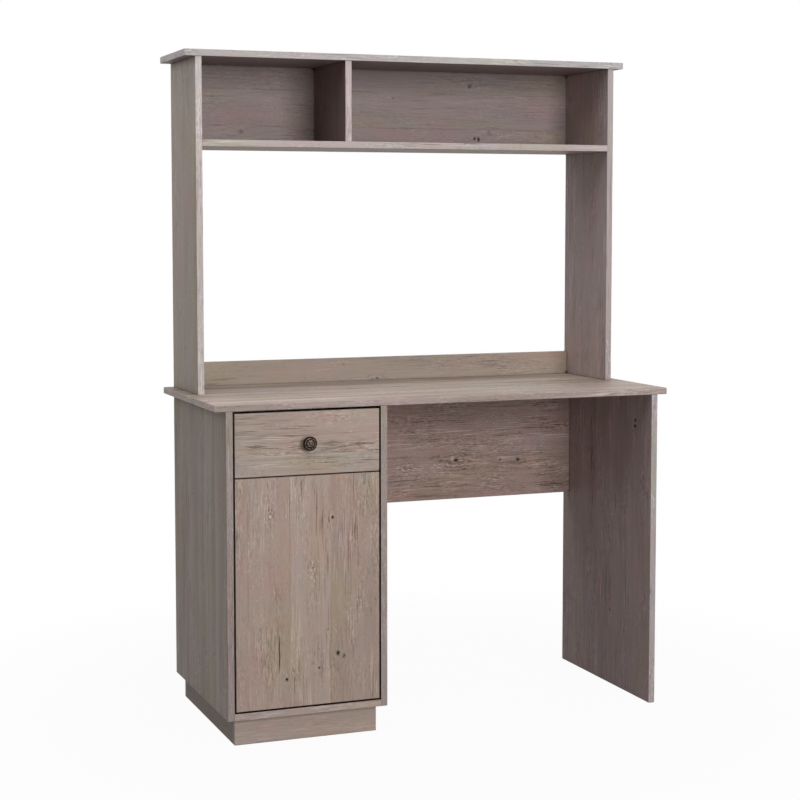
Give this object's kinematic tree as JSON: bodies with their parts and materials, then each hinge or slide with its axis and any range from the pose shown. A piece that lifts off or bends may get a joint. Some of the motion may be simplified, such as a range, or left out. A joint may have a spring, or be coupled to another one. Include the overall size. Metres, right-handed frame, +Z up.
{
  "type": "student desk with hutch",
  "caption": "Board-built student desk with a drawer and door cabinet at the left, a panel leg at the right and an open shelf hutch standing on the back of the desktop.",
  "frame": {"origin": "on the floor, under the middle of the whole box, knob and back nails included", "axes": "+Z up; -Y is the front, with the drawer and the door; +X runs to the right, to the panel leg"},
  "size_m": [1.1, 0.4756, 1.525],
  "materials": {
    "washed_oak": "matt grey-washed oak laminate on chipboard",
    "printed_hardboard": "oak print on the front, bare brown hardboard behind",
    "pale_melamine": "plain pale melamine",
    "aged_bronze": "dark aged bronze, rubbed lighter on the ridges",
    "zinc_plate": "bright zinc plate",
    "zinc_casting": "bare zinc casting",
    "white_enamel": "white baked enamel",
    "white_nylon": "moulded nylon",
    "grey_plastic": "moulded grey plastic",
    "beech": "bare beech"
  },
  "bodies": {
    "desk": {"back_nails": "zinc_plate", "cabinet_back": "printed_hardboard", "cabinet_bottom": "washed_oak", "cabinet_hardware_screws": "zinc_plate", "cabinet_left_side": "washed_oak", "cabinet_right_side": "washed_oak", "cam_bolts": "zinc_plate", "cam_locks": "zinc_casting", "cupboard_shelf": "washed_oak", "desktop": "washed_oak", "dowels": "beech", "drawer_deck": "washed_oak", "front_roller_axles": "zinc_plate", "hutch_back": "printed_hardboard", "hutch_divider": "washed_oak", "hutch_left_side": "washed_oak", "hutch_low_rail": "washed_oak", "hutch_right_side": "washed_oak", "hutch_shelf": "washed_oak", "hutch_top": "washed_oak", "latch_body": "grey_plastic", "left_cabinet_runner": "white_enamel", "long_screws": "zinc_plate", "lower_hinge_arm": "zinc_plate", "lower_hinge_plate": "zinc_plate", "modesty_panel": "washed_oak", "plinth_back": "washed_oak", "plinth_front": "washed_oak", "plinth_left": "washed_oak", "plinth_right": "washed_oak", "right_cabinet_runner": "white_enamel", "right_leg_panel": "washed_oak", "shelf_pins": "zinc_plate", "upper_hinge_arm": "zinc_plate", "upper_hinge_plate": "zinc_plate"},
    "drawer": {"drawer_front": "washed_oak", "drawer_left_side": "pale_melamine", "drawer_right_side": "pale_melamine", "drawer_back": "pale_melamine", "drawer_bottom": "printed_hardboard", "drawer_knob": "aged_bronze", "knob_screw": "zinc_plate", "left_drawer_runner": "white_enamel", "right_drawer_runner": "white_enamel", "rear_roller_axles": "zinc_plate", "drawer_runner_screws": "zinc_plate", "drawer_dowels": "beech"},
    "door": {"door": "washed_oak", "upper_hinge_cup": "zinc_plate", "lower_hinge_cup": "zinc_plate", "hinge_pins": "zinc_plate", "door_hardware_screws": "zinc_plate", "strike_plate": "zinc_plate"},
    "latch_plunger": {"latch_plunger": "white_nylon"},
    "left_front_roller": {"left_front_roller": "white_nylon"},
    "right_front_roller": {"right_front_roller": "white_nylon"},
    "left_rear_roller": {"left_rear_roller": "white_nylon"},
    "right_rear_roller": {"right_rear_roller": "white_nylon"}
  },
  "joints": [
    {"name": "drawer_slide", "type": "slide", "parent": "desk", "child": "drawer", "axis": [0, -1, 0], "range_m": [0, 0.28]},
    {"name": "door_hinge", "type": "hinge", "parent": "desk", "child": "door", "pos_m": [-0.4918, -0.2078, 0.3338], "axis": [0, 0, -1], "range_deg": [0, 105]},
    {"name": "latch_press", "type": "slide", "parent": "desk", "child": "latch_plunger", "axis": [0, 1, 0], "range_m": [0, 0.003], "stiffness_N_per_m": 400},
    {"name": "left_front_roller_spin", "type": "hinge", "parent": "desk", "child": "left_front_roller", "pos_m": [-0.50575, -0.1868, 0.6232], "axis": [1, 0, 0], "range_deg": [0, 2295]},
    {"name": "left_rear_roller_spin", "type": "hinge", "parent": "drawer", "child": "left_rear_roller", "pos_m": [-0.50445, 0.1872, 0.6188], "axis": [1, 0, 0], "range_deg": [0, 2295]},
    {"name": "right_front_roller_spin", "type": "hinge", "parent": "desk", "child": "right_front_roller", "pos_m": [-0.17425, -0.1868, 0.6232], "axis": [1, 0, 0], "range_deg": [0, 2295]},
    {"name": "right_rear_roller_spin", "type": "hinge", "parent": "drawer", "child": "right_rear_roller", "pos_m": [-0.17555, 0.1872, 0.6188], "axis": [1, 0, 0], "range_deg": [0, 2295]}
  ],
  "couplings": [
    {"joint": "left_front_roller_spin", "follows": "drawer_slide", "rad_per_m": 142.86},
    {"joint": "left_rear_roller_spin", "follows": "drawer_slide", "rad_per_m": 142.86},
    {"joint": "right_front_roller_spin", "follows": "drawer_slide", "rad_per_m": 142.86},
    {"joint": "right_rear_roller_spin", "follows": "drawer_slide", "rad_per_m": 142.86}
  ]
}
